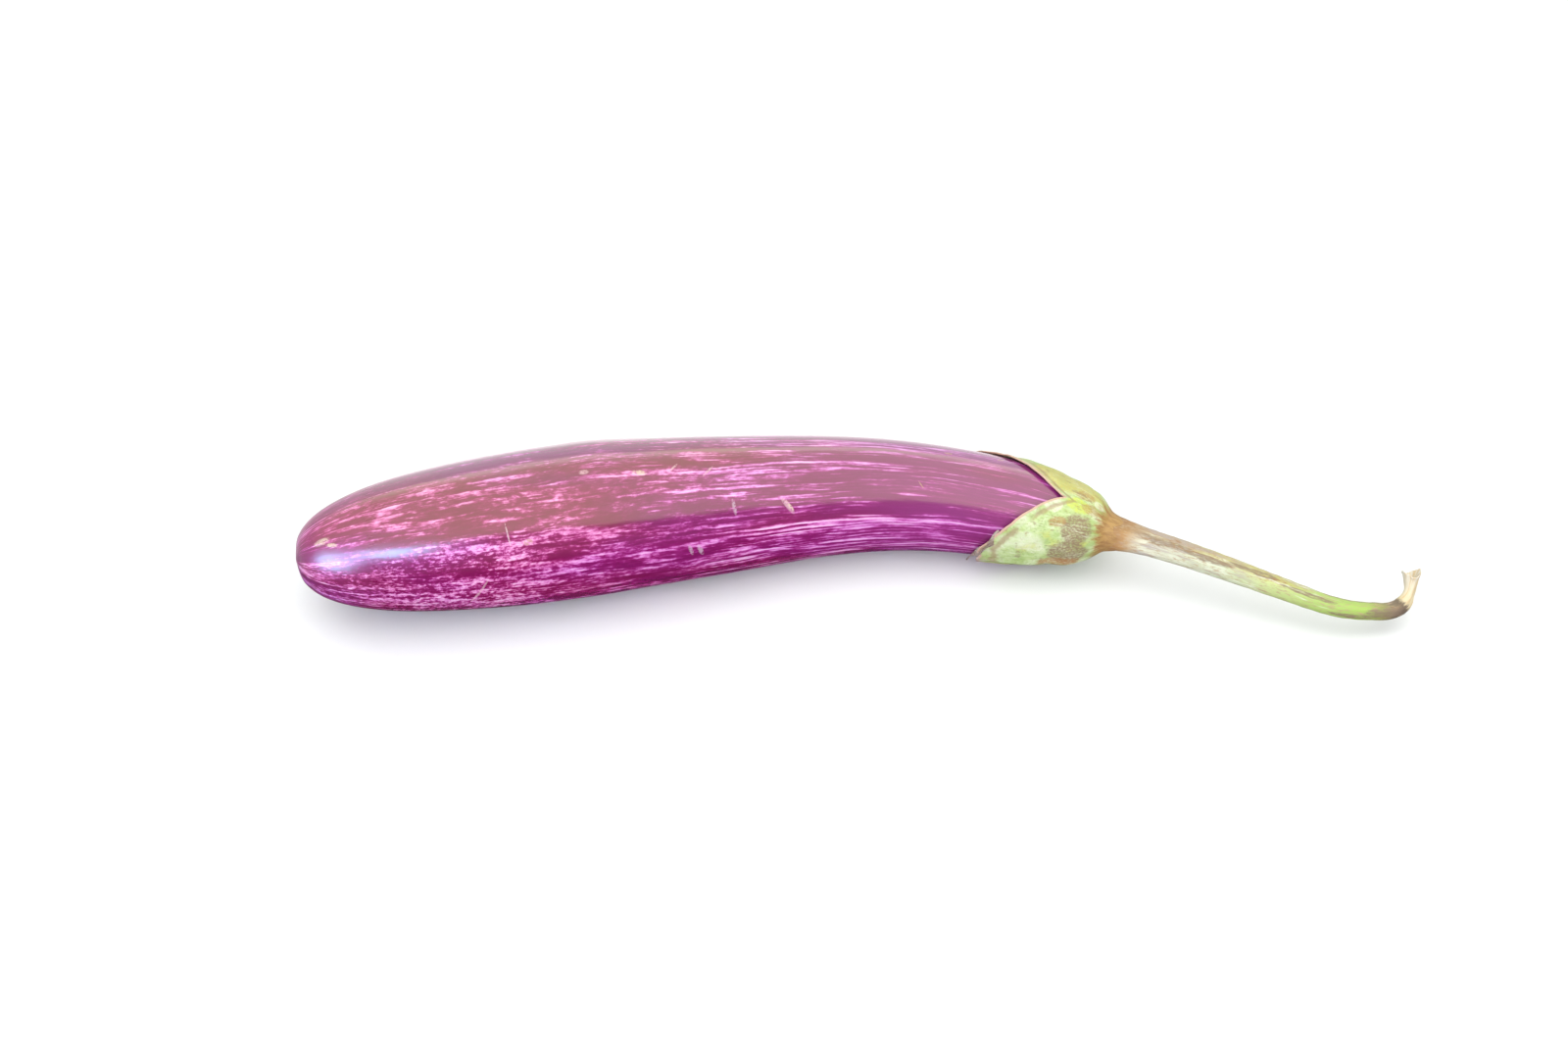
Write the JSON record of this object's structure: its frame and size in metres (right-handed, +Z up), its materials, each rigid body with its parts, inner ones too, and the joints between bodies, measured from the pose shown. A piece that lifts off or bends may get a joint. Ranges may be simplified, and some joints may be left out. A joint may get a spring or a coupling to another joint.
{
  "type": "eggplant",
  "caption": "Long slender striped purple eggplant with a leafy green calyx and a curved stem, lying on its side.",
  "frame": {"origin": "middle of the footprint, on the surface that the eggplant lies on", "axes": "+X along the eggplant towards the stem end, +Y to the side that the fruit bulges to, +Z up"},
  "size_m": [0.306, 0.056, 0.0422],
  "materials": {
    "skin": "waxy purple skin, fine pale lengthwise streaks",
    "calyx": "dull yellow-green with brown blotches",
    "stem": "dull green with brown flecks, straw-dry at the end"
  },
  "bodies": {
    "root": {"fruit": "skin", "calyx": "calyx", "stem": "stem"}
  },
  "joints": []
}
